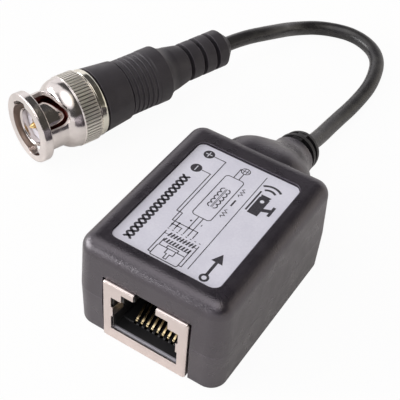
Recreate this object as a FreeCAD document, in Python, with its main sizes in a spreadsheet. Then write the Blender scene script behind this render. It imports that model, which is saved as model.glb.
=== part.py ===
"""Video balun: a small box with a modular jack at one end and a short coaxial lead with a bayonet plug.

Frame: millimetres, +Z up, origin on the underside at the middle of the box's plan. The jack faces -Y and
the lead leaves the neck towards +Y. The plug lies beside the box with its axis level, turned about Z.
The plug's pieces are drawn in the plug's own frame: its axis is +Y, with 0 at the nut's front face.
"""
import FreeCAD
import Part
import math
import os
from types import SimpleNamespace

import Sketcher
from FreeCAD import Placement, Rotation, Vector

SIZES = {
    # box
    "box_length": 36.4,
    "box_width": 28.15,
    "box_height": 19.4,
    "corner_radius": 3.15,
    "top_edge_radius": 2.6,
    "bottom_edge_radius": 0.35,
    "parting_height": 8.3,
    "top_draft": 2.35,
    "bottom_draft": 1.4,
    "wall": 1.5,
    "lip_height": 1.0,
    "lip_thickness": 0.65,
    "lip_gap": 0.1,
    # label and its recess
    "label_width": 20.0,
    "label_length": 27.1,
    "label_radius": 1.5,
    "label_offset": -0.6,
    "label_thickness": 0.15,
    "label_depth": 0.4,
    "label_gap": 0.1,
    # neck
    "neck_width": 17.6,
    "neck_height": 18.7,
    "neck_centre_height": 9.65,
    "neck_corner": 6.0,
    "neck_end_flat": 0.13,
    "neck_length": 12.3,
    "neck_end_radius": 4.22,
    "neck_bore_radius": 2.45,
    "neck_end_wall": 2.5,
    # sleeve where the lead leaves
    "relief_radius": 4.1,
    "relief_knob_radius": 3.98,
    "relief_core_radius": 2.1,
    "relief_flange_radius": 3.0,
    "relief_flange_length": 1.4,
    "relief_slot": 0.75,
    "relief_ring": 0.95,
    "relief_knob": 2.1,
    "relief_knob_round": 1.5,
    "relief_edge": 0.15,
    "relief_bridge": 1.8,
    "relief_bridge_height": 7.6,
    "relief_bend_radius": 10.5,
    "relief_bend_angle": 20.0,
    "relief_bend_start": 1.4,
    # modular jack
    "jack_width": 16.1,
    "jack_low": 0.15,
    "jack_height": 13.5,
    "jack_depth": 15.8,
    "jack_proud": 0.35,
    "shield_sheet": 0.25,
    "shield_gap": 0.1,
    "shield_corner": 0.5,
    "shield_bend": 0.4,
    "jack_hole_gap": 0.3,
    "jack_top_gap": 0.1,
    "port_width": 12.8,
    "port_low": 2.8,
    "port_high": 10.55,
    "port_step_width": 8.85,
    "port_step_high": 12.3,
    "latch_width": 4.25,
    "latch_depth": 3.2,
    "port_clearance": 0.3,
    "port_depth": 12.0,
    "finger_step": 0.35,
    "finger_length": 2.6,
    "finger_height": 2.2,
    "finger_angle": 6.0,
    "finger_middle": 7.05,
    "finger_clearance": 0.3,
    "shield_tab": 1.5,
    "insert_setback": 0.15,
    "sill_chamfer": 0.3,
    "comb_front": 2.9,
    "comb_width": 11.6,
    "comb_height": 0.2,
    "comb_chamfer": 0.15,
    # contacts
    "contact_count": 8,
    "contact_pitch": 1.04,
    "contact_width": 0.36,
    "contact_thickness": 0.25,
    "contact_slot": 0.6,
    "contact_floor": 2.0,
    "contact_front": 3.9,
    "contact_bend": 0.75,
    "contact_leg_inset": 1.35,
    "contact_tip_reach": 10.2,
    "contact_tip_height": 7.2,
    "pit_floor": 1.5,
    # board
    "board_side_gap": 0.775,
    "board_end_gap": 0.7,
    "board_thickness": 1.2,
    "board_gap": 0.1,
    "board_corner": 1.0,
    "boss_radius": 1.6,
    "boss_pin_radius": 0.75,
    "boss_side_inset": 1.8,
    "boss_front_inset": 3.5,
    "boss_rear_inset": 2.8,
    "pin_clearance": 0.1,
    "lead_hole_radius": 0.45,
    # parts on the board
    "core_side_inset": 7.5,
    "core_rear_inset": 9.8,
    "core_radius": 5.0,
    "core_bore": 2.4,
    "core_height": 4.2,
    "core_edge": 0.4,
    "wire": 0.4,
    "winding_turns": 9,
    "winding_pitch": 15.0,
    "winding_gap": 0.12,
    "winding_lead": 1.2,
    "suppressor_side_inset": 5.4,
    "suppressor_rear_inset": 13.8,
    "suppressor_length": 4.3,
    "suppressor_width": 3.6,
    "suppressor_height": 2.3,
    "suppressor_corner": 0.2,
    "suppressor_draft": 5.0,
    "capacitor_side_inset": 5.2,
    "capacitor_rear_inset": 7.4,
    "capacitor_radius": 2.5,
    "capacitor_length": 7.0,
    "capacitor_edge": 0.4,
    "inner_lead_radius": 0.4,
    "inner_lead_spread": 1.1,
    "inner_lead_straight": 4.0,
    "inner_lead_rise": 0.8,
    "inner_lead_inset": 2.4,
    # lead
    "cable_radius": 1.6,
    # plug, set by the place of its front face and its turn about Z
    "plug_x": -45.72,
    "plug_y": 7.87,
    "plug_z": 7.3,
    "plug_turn": 19.4,
    # coupling nut
    "nut_ring_radius": 7.08,
    "nut_ring_length": 1.8,
    "nut_ring_edge": 0.25,
    "nut_barrel_radius": 5.75,
    "nut_flare_start": 6.0,
    "nut_flare_end": 8.6,
    "nut_flare_radius": 7.05,
    "nut_flare_curve": 3.2,
    "knurl_start": 9.1,
    "knurl_end": 12.6,
    "knurl_radius": 7.25,
    "knurl_depth": 0.3,
    "knurl_teeth": 64,
    "nut_groove": 0.25,
    "nut_rear_radius": 6.95,
    "nut_rear_edge": 0.7,
    "nut_length": 14.7,
    "nut_bore_radius": 4.95,
    "nut_running_gap": 0.06,
    "notch_width": 4.5,
    "notch_radius": 5.65,
    "notch_angle": 117.5,
    "window_low_angle": 19.0,
    "window_side_end": 4.8,
    "window_side_pull": 6.2,
    "window_nose_angle": 34.0,
    "window_nose_pull": 7.55,
    "window_slope_angle": 54.6,
    "window_slope_start": 6.48,
    "window_cam_angle": 66.0,
    "window_cam_pull": 6.0,
    "window_end_angle": 113.0,
    "window_end_start": 5.0,
    "window_high_angle": 116.0,
    "window_high_end": 4.4,
    "window_foot_angle": 108.0,
    "window_cutter_top": 6.2,
    # plug body and what it carries
    "flange_start": 8.6,
    "flange_length": 1.2,
    "flange_gap": 0.3,
    "body_neck_radius": 3.9,
    "body_tail_radius": 2.4,
    "body_tail_start": 17.0,
    "body_tail_end": 24.0,
    "body_bore": 1.7,
    "sleeve_radius": 4.05,
    "sleeve_bore": 3.5,
    "sleeve_front": 0.8,
    "insulator_front": 2.2,
    "insulator_gap": 0.05,
    "insulator_mouth": 1.7,
    "insulator_mouth_depth": 1.6,
    "pin_radius": 0.675,
    "pin_front": 0.75,
    "pin_nose_radius": 0.2,
    "pin_nose_curve": 2.0,
    "pin_tip": 1.2,
    "pin_shank_radius": 1.0,
    "pin_end": 12.0,
    "gasket_length": 1.5,
    "gasket_edge": 0.2,
    "washer_thickness": 0.25,
    "washer_wave": 0.35,
    "washer_waves": 3,
    "washer_crest": 30.0,
    "washer_gap": 0.15,
    "nut_end_play": 0.15,
    "ring_thickness": 0.6,
    "ring_gap": 0.1,
    "ring_radius": 4.6,
    "ring_seat": 3.5,
    "ring_slit": 1.2,
    "ferrule_radius": 3.1,
    "ferrule_length": 6.4,
    # boot
    "boot_front": 14.9,
    "boot_front_radius": 6.8,
    "boot_ridge_start": 20.9,
    "boot_ridge_end": 27.8,
    "boot_shoulder_radius": 6.2,
    "boot_ridge_radius": 5.87,
    "boot_ridge_count": 6,
    "boot_ridge_depth": 0.3,
    "boot_collar_end": 30.8,
    "boot_collar_radius": 5.95,
    "boot_taper_end": 33.9,
    "boot_taper_radius": 4.65,
    "boot_taper_curve": 4.5,
    "boot_groove_first": 37.4,
    "boot_groove_count": 3,
    "boot_groove_pitch": 3.4,
    "boot_groove_width": 1.0,
    "boot_groove_radius": 2.7,
    "boot_rib_radius": 4.05,
    "boot_end_ring": 47.0,
    "boot_end": 49.0,
    "boot_tail_radius": 2.16,
    "boot_clearance": 0.1,
}

CABLE_ROUTE = [
    (0.0, 34.838, 6.885),
    (0.0, 40.745, 4.735),
    (-0.45, 50.88, 2.41),
    (0.05, 59.86, 1.61),
    (-0.09, 69.06, 1.61),
    (-3.11, 78.75, 1.61),
    (-10.63, 83.0, 1.61),
    (-19.0, 80.88, 1.61),
    (-23.72, 73.81, 3.16),
    (-23.32, 65.12, 6.59),
    (-27.867, 58.566, 7.3),
    (-29.444, 54.088, 7.3),
]


class Size:
    """A number together with the expression over the sheet's cells that it comes from."""

    def __init__(self, number, text):
        self.number = float(number)
        self.text = text

    def __add__(self, other):
        other = as_size(other)
        return Size(self.number + other.number, "({} + {})".format(self.text, other.text))

    def __sub__(self, other):
        other = as_size(other)
        return Size(self.number - other.number, "({} - {})".format(self.text, other.text))

    def __mul__(self, other):
        other = as_size(other)
        return Size(self.number * other.number, "({} * {})".format(self.text, other.text))

    def __truediv__(self, other):
        other = as_size(other)
        return Size(self.number / other.number, "({} / {})".format(self.text, other.text))

    def __neg__(self):
        return Size(-self.number, "(-1 * {})".format(self.text))

    def __radd__(self, other):
        return as_size(other) + self

    def __rsub__(self, other):
        return as_size(other) - self

    def __rmul__(self, other):
        return as_size(other) * self


def as_size(value):
    if isinstance(value, Size):
        return value
    return Size(value, repr(float(value)))


def sine(angle):
    return Size(math.sin(math.radians(angle.number)), "sin({} * 1 deg)".format(angle.text))


def cosine(angle):
    return Size(math.cos(math.radians(angle.number)), "cos({} * 1 deg)".format(angle.text))


def tangent(angle):
    return sine(angle) / cosine(angle)


doc = FreeCAD.newDocument("video_balun")
sheet = doc.addObject("Spreadsheet::Sheet", "sizes")
for row, (alias, value) in enumerate(SIZES.items(), start=1):
    cell = "A{}".format(row)
    sheet.set(cell, str(value))
    sheet.setAlias(cell, alias)
doc.recompute()
s = SimpleNamespace(**{alias: Size(value, "sizes." + alias) for alias, value in SIZES.items()})

nodes = []


def bind(item, prop, size):
    """Set a property, and tie it to the sheet when the size comes from there."""
    size = as_size(size)
    if "sizes." in size.text:
        item.setExpression(prop, size.text)
    else:
        item.setExpression(prop, None)
        setattr(item, prop, size.number)


def at(item, x=0.0, y=0.0, z=0.0):
    for axis, size in zip("xyz", (x, y, z)):
        item.setExpression("Placement.Base." + axis, as_size(size).text)


def node(name, item):
    """Keep an item as one physical piece. Its label is the piece's name."""
    item.Label = name
    nodes.append(item)
    return item


def new_body(name):
    return doc.addObject("PartDesign::Body", name)


def draw(body, name, role, corners, arcs=None, lift=0.0):
    """A closed outline through (u, v) corners on one of the body's own planes.

    arcs holds, for a corner's number, the radius of the arc that leads from it to the next corner:
    positive turns left on the way, negative turns right.
    """
    arcs = arcs or {}
    plane = next(item for item in body.Origin.OriginFeatures if item.Role == role)
    outline = body.newObject("Sketcher::SketchObject", name)
    outline.AttachmentSupport = (plane, "")
    outline.MapMode = "FlatFace"
    if isinstance(lift, Size):
        outline.setExpression("AttachmentOffset.Base.z", lift.text)
    points = [(as_size(u), as_size(v)) for u, v in corners]
    ends = []
    for index, (u, v) in enumerate(points):
        after_u, after_v = points[(index + 1) % len(points)]
        start = Vector(u.number, v.number, 0)
        stop = Vector(after_u.number, after_v.number, 0)
        if index in arcs:
            radius = as_size(arcs[index]).number
            ends.append(draw_arc(outline, start, stop, radius))
        else:
            outline.addGeometry(Part.LineSegment(start, stop))
            ends.append((1, 2))
    for index, (u, v) in enumerate(points):
        first = ends[index][0]
        for kind, size in (("DistanceX", u), ("DistanceY", v)):
            tie = outline.addConstraint(Sketcher.Constraint(kind, -1, 1, index, first, size.number))
            if "sizes." in size.text:
                outline.setExpression("Constraints[{}]".format(tie), size.text)
        after = (index + 1) % len(points)
        outline.addConstraint(Sketcher.Constraint("Coincident", index, ends[index][1], after, ends[after][0]))
        if index in arcs:
            radius = as_size(arcs[index])
            if radius.number < 0:
                radius = -radius
            tie = outline.addConstraint(Sketcher.Constraint("Radius", index, radius.number))
            if "sizes." in radius.text:
                outline.setExpression("Constraints[{}]".format(tie), radius.text)
    return outline


def draw_arc(outline, start, stop, radius):
    """An arc between two points. Returns which of its ends is the start and which the stop."""
    middle = (start + stop) / 2
    half = (stop - start).Length / 2
    left = Vector(-(stop - start).y, (stop - start).x, 0).normalize()
    reach = math.sqrt(max(radius * radius - half * half, 0.0))
    turns_left = radius > 0
    centre = middle + left * (reach if turns_left else -reach)
    circle = Part.Circle(centre, Vector(0, 0, 1), abs(radius))
    first, last = (start, stop) if turns_left else (stop, start)
    angle_from = math.atan2(first.y - centre.y, first.x - centre.x)
    angle_to = math.atan2(last.y - centre.y, last.x - centre.x)
    outline.addGeometry(Part.ArcOfCircle(circle, angle_from, angle_to))
    return (1, 2) if turns_left else (2, 1)


def rounded(body, name, role, half_u, half_v, radius, middle=(0.0, 0.0), lift=0.0):
    """A rectangle with round corners about a middle point."""
    mu, mv = as_size(middle[0]), as_size(middle[1])
    corners = [
        (mu - half_u + radius, mv - half_v),
        (mu + half_u - radius, mv - half_v),
        (mu + half_u, mv - half_v + radius),
        (mu + half_u, mv + half_v - radius),
        (mu + half_u - radius, mv + half_v),
        (mu - half_u + radius, mv + half_v),
        (mu - half_u, mv + half_v - radius),
        (mu - half_u, mv - half_v + radius),
    ]
    return draw(body, name, role, corners, {1: radius, 3: radius, 5: radius, 7: radius}, lift)


def pad(body, outline, length, reverse=False, taper=None):
    made = body.newObject("PartDesign::Pad", outline.Name + "_pad")
    made.Profile = outline
    bind(made, "Length", length)
    made.Reversed = reverse
    if taper is not None:
        bind(made, "TaperAngle", taper)
    body.Tip = made
    return made


def revolve(body, outline):
    """Turn an outline about its own vertical axis."""
    made = body.newObject("PartDesign::Revolution", outline.Name + "_turned")
    made.Profile = outline
    made.ReferenceAxis = (outline, ["V_Axis"])
    made.Angle = 360
    body.Tip = made
    return made


def block(name, x, y, z):
    """A rectangular block between pairs of limits along X, Y and Z."""
    made = doc.addObject("Part::Box", name)
    for prop, (low, high) in zip(("Length", "Width", "Height"), (x, y, z)):
        bind(made, prop, as_size(high) - as_size(low))
    at(made, x[0], y[0], z[0])
    return made


def rod(name, radius, length, x=0.0, y=0.0, z=0.0, along="z"):
    """A cylinder from a base point towards +Z or +Y."""
    made = doc.addObject("Part::Cylinder", name)
    bind(made, "Radius", radius)
    bind(made, "Height", length)
    if along == "y":
        made.Placement = Placement(Vector(0, 0, 0), Rotation(Vector(1, 0, 0), -90))
    at(made, x, y, z)
    return made


def fuse(name, items):
    made = doc.addObject("Part::MultiFuse", name)
    made.Shapes = items
    return made


def cut(name, base, tools):
    made = doc.addObject("Part::Cut", name)
    made.Base = base
    made.Tool = tools[0] if len(tools) == 1 else fuse(name + "_tools", tools)
    return made


def common(name, first, second):
    made = doc.addObject("Part::Common", name)
    made.Base = first
    made.Tool = second
    return made


half_length = s.box_length / 2
half_width = s.box_width / 2
roof_depth = s.label_depth + s.label_thickness
roof_inside = s.box_height - roof_depth - s.wall
jack_top = s.jack_low + s.jack_height
board_low = jack_top + s.board_gap
board_top = board_low + s.board_thickness
board_half_width = half_width - s.wall - s.board_side_gap
board_half_length = half_length - s.wall - s.board_end_gap
boss_x = board_half_width - s.boss_side_inset
boss_front_y = -board_half_length + s.boss_front_inset
boss_rear_y = board_half_length - s.boss_rear_inset
core_x = -board_half_width + s.core_side_inset
core_y = board_half_length - s.core_rear_inset
jack_front = -half_length - s.jack_proud
jack_rear = jack_front + s.jack_depth
insert_front = jack_front + s.shield_sheet + s.insert_setback
leg_y = jack_rear - s.contact_leg_inset
neck_end = half_length + s.neck_length

# farther out than any face of the part, for tools that only have to cut right through
FAR = 60.0


def edges_at_height(shape, height):
    return ["Edge{}".format(number) for number, edge in enumerate(shape.Edges, start=1)
            if all(abs(vertex.Z - height) < 0.001 for vertex in edge.Vertexes)]


def edges_at_station(shape, station):
    return ["Edge{}".format(number) for number, edge in enumerate(shape.Edges, start=1)
            if all(abs(vertex.Y - station) < 0.001 for vertex in edge.Vertexes)]


NECK_STATIONS = (-0.1, 0.0, 0.2, 0.4, 0.6, 0.8, 1.0)


def neck_sections(body, name, inset, start_shift, length):
    """Sections of the neck: a rounded square at the box that eases into a near circle at its end."""
    sections = []
    for number, share in enumerate(NECK_STATIONS):
        along = min(max(share * length.number / s.neck_length.number, 0.0), 1.0)
        ease = along * along * (3 - 2 * along)
        half_u = s.neck_width / 2 * (1 - ease) + s.neck_end_radius * ease - inset
        half_v = s.neck_height / 2 * (1 - ease) + s.neck_end_radius * ease - inset
        middle = s.neck_centre_height * (1 - ease) + s.parting_height * ease
        corner = s.neck_corner * (1 - ease) + (s.neck_end_radius - s.neck_end_flat) * ease - inset
        station = half_length + length * share
        if number == 0:
            station = half_length - start_shift
        sections.append(rounded(body, "{}_{}".format(name, number), "XZ_Plane", half_u, half_v, corner,
                                (0.0, middle), -station))
    return sections


def loft(body, sections):
    made = body.newObject("PartDesign::AdditiveLoft", sections[0].Name + "_loft")
    made.Profile = sections[0]
    made.Sections = sections[1:]
    body.Tip = made
    return made


def housing_outside():
    """Both halves of the box with its neck, as one drafted solid."""
    body = new_body("housing_outside")
    upper = rounded(body, "upper_plan", "XY_Plane", half_width, half_length, s.corner_radius,
                    lift=s.parting_height)
    pad(body, upper, s.box_height - s.parting_height, taper=-s.top_draft)
    lower = rounded(body, "lower_plan", "XY_Plane", half_width, half_length, s.corner_radius,
                    lift=s.parting_height)
    pad(body, lower, s.parting_height, reverse=True, taper=-s.bottom_draft)
    for height, radius in ((s.box_height, s.top_edge_radius), (as_size(0.0), s.bottom_edge_radius)):
        doc.recompute()
        sharp = body.Tip
        soft = body.newObject("PartDesign::Fillet", "edge_round")
        soft.Base = (sharp, edges_at_height(sharp.Shape, height.number))
        bind(soft, "Radius", radius)
        body.Tip = soft
    loft(body, neck_sections(body, "neck", as_size(0.0), s.corner_radius, s.neck_length))
    return body


def housing_inside():
    """The hollow that both halves share."""
    body = new_body("housing_inside")
    inner_corner = s.corner_radius - s.wall
    upper = rounded(body, "upper_room", "XY_Plane", half_width - s.wall, half_length - s.wall, inner_corner,
                    lift=s.parting_height)
    pad(body, upper, roof_inside - s.parting_height, taper=-s.top_draft)
    lower = rounded(body, "lower_room", "XY_Plane", half_width - s.wall, half_length - s.wall, inner_corner,
                    lift=s.parting_height)
    pad(body, lower, s.parting_height - s.wall, reverse=True, taper=-s.bottom_draft)
    loft(body, neck_sections(body, "neck_room", s.wall, s.corner_radius, s.neck_length - s.neck_end_wall))
    return body


def plan_prism(name, half_u, half_v, radius, low, high, middle=(0.0, 0.0)):
    body = new_body(name)
    plan = rounded(body, name + "_plan", "XY_Plane", half_u, half_v, radius, middle, low)
    pad(body, plan, high - low)
    return body


def housing(outside, inside):
    """Top and bottom covers, split at the parting plane with a lip that locates them."""
    lip_half_width = half_width - s.wall + s.lip_thickness
    lip_half_length = half_length - s.wall + s.lip_thickness
    lip_corner = s.corner_radius - s.wall + s.lip_thickness
    below = block("below_parting", (-FAR, FAR), (-FAR, FAR), (-FAR, s.parting_height))
    above = block("above_parting", (-FAR, FAR), (-FAR, FAR), (s.parting_height, FAR))
    bore = rod("neck_bore", s.neck_bore_radius, s.neck_length + s.wall, 0.0, half_length, s.parting_height,
               "y")
    beside_jack = s.jack_width / 2 + s.jack_hole_gap
    jack_hole = block("jack_hole", (-beside_jack, beside_jack), (-FAR, -half_length + s.wall * 2),
                      (s.parting_height - s.lip_height, jack_top + s.jack_top_gap))
    jack_floor = block("jack_floor", (-beside_jack, beside_jack), (-FAR, jack_rear + s.jack_hole_gap),
                       (-FAR, s.parting_height + s.lip_height * 2))
    recess = plan_prism("label_recess", s.label_width / 2 + s.label_gap, s.label_length / 2 + s.label_gap,
                        s.label_radius + s.label_gap, s.box_height - roof_depth, s.box_height + s.wall,
                        (0.0, s.label_offset))
    rebate = plan_prism("lip_rebate", lip_half_width + s.lip_gap, lip_half_length + s.lip_gap,
                        lip_corner + s.lip_gap, s.parting_height - s.wall,
                        s.parting_height + s.lip_height + s.lip_gap)
    bosses = []
    for x_sign in (-1, 1):
        for end, y in (("front", boss_front_y), ("rear", boss_rear_y)):
            tag = "{}_{}".format(end, "left" if x_sign < 0 else "right")
            bosses.append(rod("boss_" + tag, s.boss_radius, roof_inside + s.wall / 2 - board_top,
                              boss_x * x_sign, y, board_top))
            bosses.append(rod("boss_pin_" + tag, s.boss_pin_radius, s.board_thickness + s.wall,
                              boss_x * x_sign, y, board_low))
    shell = cut("top_shell", outside, [inside, below, bore, jack_hole, recess, rebate])
    node("top_cover", fuse("top_cover", [shell] + bosses))

    tongue_outer = plan_prism("tongue_outer", lip_half_width, lip_half_length, lip_corner,
                              s.parting_height - s.wall, s.parting_height + s.lip_height)
    tongue_inner = plan_prism("tongue_inner", half_width - s.wall, half_length - s.wall,
                              s.corner_radius - s.wall, s.parting_height - s.wall * 2,
                              s.parting_height + s.lip_height * 2)
    neck_break = block("neck_break", (-s.neck_width / 2, s.neck_width / 2), (half_length - s.wall * 2, FAR),
                       (s.parting_height, FAR))
    tongue = cut("tongue", tongue_outer, [tongue_inner, neck_break])
    tray = cut("tray", outside, [inside, above, bore])
    rails = []
    for side, sign in (("left", -1), ("right", 1)):
        rails.append(block("jack_rail_" + side, mirrored(sign, beside_jack, beside_jack + s.wall / 2),
                           (-half_length + s.wall, jack_rear), (s.wall / 2, s.parting_height - s.lip_height)))
        rails.append(rod("board_post_" + side, s.boss_radius, board_low - s.wall / 2,
                         boss_x * sign, boss_rear_y, s.wall / 2))
    joined = fuse("tray_with_lip", [tray, tongue] + rails)
    node("bottom_cover", cut("bottom_cover", joined, [jack_floor] + post_holes()))


def post_holes():
    """Blind holes that take the ends of the top cover's pins."""
    radius = s.boss_pin_radius + s.pin_clearance
    return [rod("post_hole_" + side, radius, s.wall * 2, boss_x * sign, boss_rear_y, board_low - s.wall)
            for side, sign in (("left", -1), ("right", 1))]


def label():
    body = plan_prism("label", s.label_width / 2, s.label_length / 2, s.label_radius,
                      s.box_height - roof_depth, s.box_height - s.label_depth, (0.0, s.label_offset))
    node("label", body)


def relief_place(distance):
    """A place on the sleeve's bent axis, its local Z along the axis, at a distance from the bend's start."""
    radius = s.relief_bend_radius.number
    turn = min(max(distance / radius, 0.0), math.radians(s.relief_bend_angle.number))
    rest = distance - turn * radius
    y = radius * math.sin(turn) + rest * math.cos(turn)
    z = -radius * (1 - math.cos(turn)) - rest * math.sin(turn)
    start = neck_end.number - s.relief_bend_start.number
    return Placement(Vector(0, start + y, s.parting_height.number + z),
                     Rotation(Vector(1, 0, 0), -90 - math.degrees(turn)))


def bead(name, radius, length, edge, distance):
    """A disc on the sleeve's axis with a round outer edge."""
    body = new_body(name)
    corners = [(0.0, 0.0), (radius, 0.0), (radius, length - edge), (radius - edge, length), (0.0, length)]
    revolve(body, draw(body, name + "_profile", "XZ_Plane", corners, {2: edge}))
    body.Placement = relief_place(distance.number)
    return body


def strain_relief():
    """A flange held inside the neck, a bent core, a ring and an end knob joined by two bridges."""
    flange_start = neck_end - s.neck_end_wall - s.relief_flange_length
    body = new_body("relief_core")
    spine = body.newObject("Sketcher::SketchObject", "relief_axis")
    spine.AttachmentSupport = (next(f for f in body.Origin.OriginFeatures if f.Role == "YZ_Plane"), "")
    spine.MapMode = "FlatFace"
    slot_one = s.relief_bend_start
    ring_start = slot_one + s.relief_slot
    slot_two = ring_start + s.relief_ring
    knob_start = slot_two + s.relief_slot
    end = knob_start + s.relief_knob
    flange_y = flange_start.number
    start = relief_place(0.0).Base
    bend_length = math.radians(s.relief_bend_angle.number) * s.relief_bend_radius.number
    bend_middle = relief_place(bend_length / 2).Base
    bend_end = relief_place(bend_length).Base
    tip = relief_place(end.number).Base
    spine.addGeometry(Part.LineSegment(Vector(flange_y, start.z, 0), Vector(start.y, start.z, 0)))
    spine.addGeometry(Part.Arc(Vector(start.y, start.z, 0), Vector(bend_middle.y, bend_middle.z, 0),
                               Vector(bend_end.y, bend_end.z, 0)))
    spine.addGeometry(Part.LineSegment(Vector(bend_end.y, bend_end.z, 0), Vector(tip.y, tip.z, 0)))
    for index in range(3):
        spine.addConstraint(Sketcher.Constraint("Block", index))
    section = body.newObject("Sketcher::SketchObject", "relief_section")
    section.AttachmentSupport = (next(f for f in body.Origin.OriginFeatures if f.Role == "XZ_Plane"), "")
    section.MapMode = "FlatFace"
    section.setExpression("AttachmentOffset.Base.z", (-flange_start).text)
    middle = Vector(0, s.parting_height.number, 0)
    section.addGeometry(Part.Circle(middle, Vector(0, 0, 1), s.relief_core_radius.number))
    section.addConstraint(Sketcher.Constraint("PointOnObject", 0, 3, -2))
    section.addConstraint(Sketcher.Constraint("DistanceY", -1, 1, 0, 3, s.parting_height.number))
    section.setExpression("Constraints[1]", s.parting_height.text)
    section.addConstraint(Sketcher.Constraint("Radius", 0, s.relief_core_radius.number))
    section.setExpression("Constraints[2]", s.relief_core_radius.text)
    core = body.newObject("PartDesign::AdditivePipe", "relief_core_pipe")
    core.Profile = section
    core.Spine = spine
    body.Tip = core
    flange = rod("relief_flange", s.relief_flange_radius, s.relief_flange_length, 0.0, flange_start,
                 s.parting_height, "y")
    beads = [
        bead("relief_ring", s.relief_radius, s.relief_ring, s.relief_edge, ring_start),
        bead("relief_knob", s.relief_knob_radius, s.relief_knob, s.relief_knob_round, knob_start),
    ]
    bridges = (
        ("relief_bridge_near", as_size(0.0), ring_start + s.relief_ring / 2),
        ("relief_bridge_far", slot_two - s.relief_ring / 2, knob_start + s.relief_ring / 2),
    )
    for name, first, last in bridges:
        bridge = doc.addObject("Part::Box", name)
        bind(bridge, "Length", s.relief_bridge)
        bind(bridge, "Width", s.relief_bridge_height)
        bind(bridge, "Height", last - first)
        shift = Vector(-s.relief_bridge.number / 2, -s.relief_bridge_height.number / 2, 0)
        bridge.Placement = relief_place(first.number).multiply(Placement(shift, Rotation()))
        beads.append(bridge)
    neck_side = block("neck_side", (-FAR, FAR), (0.0, neck_end), (-FAR, FAR))
    outside = cut("relief_outside", fuse("relief_beads", beads), [neck_side])
    node("strain_relief", fuse("strain_relief", [body, flange, outside]))


def profile_with_port(name, low, inset, depth_from, depth_to):
    """The jack's stepped opening as a prism along Y, a little larger or smaller by the inset."""
    half = s.port_width / 2 - inset
    step = s.port_step_width / 2 - inset
    body = new_body(name)
    shoulder = s.port_high - inset
    top = s.port_step_high - inset
    corners = [(-half, low), (half, low), (half, shoulder), (step, shoulder), (step, top), (-step, top),
               (-step, shoulder), (-half, shoulder)]
    outline = draw(body, name + "_outline", "XZ_Plane", corners, lift=-depth_to)
    pad(body, outline, depth_to - depth_from)
    return body


def jack_shield():
    """A folded steel shell, open in front where the plug and its latch go, with a spring finger each side."""
    half = s.jack_width / 2
    middle = (0.0, s.jack_low + s.jack_height / 2)
    body = new_body("shield_outside")
    plan = rounded(body, "shield_section", "XZ_Plane", half, s.jack_height / 2, s.shield_corner, middle,
                   -jack_front)
    pad(body, plan, s.jack_depth, reverse=True)
    doc.recompute()
    folded = body.Tip
    soft = body.newObject("PartDesign::Fillet", "shield_front_bend")
    soft.Base = (folded, edges_at_station(folded.Shape, jack_front.number))
    bind(soft, "Radius", s.shield_bend)
    body.Tip = soft
    inside = new_body("shield_room")
    plan = rounded(inside, "shield_room_section", "XZ_Plane", half - s.shield_sheet,
                   s.jack_height / 2 - s.shield_sheet, s.shield_corner - s.shield_sheet, middle,
                   -jack_front - s.shield_sheet)
    pad(inside, plan, s.jack_depth - s.shield_sheet * 2, reverse=True)
    port = profile_with_port("shield_port", s.port_low, as_size(0.0), jack_front - s.wall,
                             jack_front + s.wall)
    latch = block("shield_latch", (-s.latch_width / 2, s.latch_width / 2), (-FAR, jack_front + s.latch_depth),
                  (s.port_high, FAR))
    leg_window = block("leg_window", (-s.port_width / 2, s.port_width / 2), (jack_rear - s.wall * 2, FAR),
                       (jack_top - s.wall / 2, FAR))
    pieces = [cut("shield_shell", body, [inside, port, latch, leg_window])]
    tab_front = jack_front + s.jack_depth / 2
    finger_low = s.finger_middle - s.finger_height / 2
    reach = s.port_width / 2 - s.finger_step
    for side, sign in (("left", -1), ("right", 1)):
        pieces.append(block("shield_tab_" + side, mirrored(sign, half - s.shield_sheet, half),
                            (tab_front, tab_front + s.shield_tab),
                            (jack_top - s.wall, board_top + s.wall / 2)))
        pieces.append(block("shield_step_" + side, mirrored(sign, reach, s.port_width / 2 + s.shield_sheet),
                            (jack_front, jack_front + s.shield_sheet),
                            (finger_low, finger_low + s.finger_height)))
        finger = doc.addObject("Part::Box", "shield_finger_" + side)
        bind(finger, "Length", s.shield_sheet)
        bind(finger, "Width", s.finger_length)
        bind(finger, "Height", s.finger_height)
        edge_x = sign * (reach.number + s.shield_sheet.number / 2) - s.shield_sheet.number / 2
        root_y = jack_front.number + s.shield_sheet.number / 2
        finger.Placement = Placement(Vector(edge_x, root_y, finger_low.number),
                                     Rotation(Vector(0, 0, 1), sign * s.finger_angle.number))
        pieces.append(finger)
    node("jack_shield", fuse("jack_shield", pieces))


def mirrored(sign, near, far):
    """Limits along X for a piece between two distances from the middle plane."""
    return (near, far) if sign > 0 else (-far, -near)


def contact_x(index):
    return s.contact_pitch * (index - (SIZES["contact_count"] - 1) / 2)


def across(name, corners, width):
    """A prism centred across X from (y, z) corners."""
    body = new_body(name)
    pad(body, draw(body, name + "_outline", "YZ_Plane", corners, lift=-width / 2), width)
    return body


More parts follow.
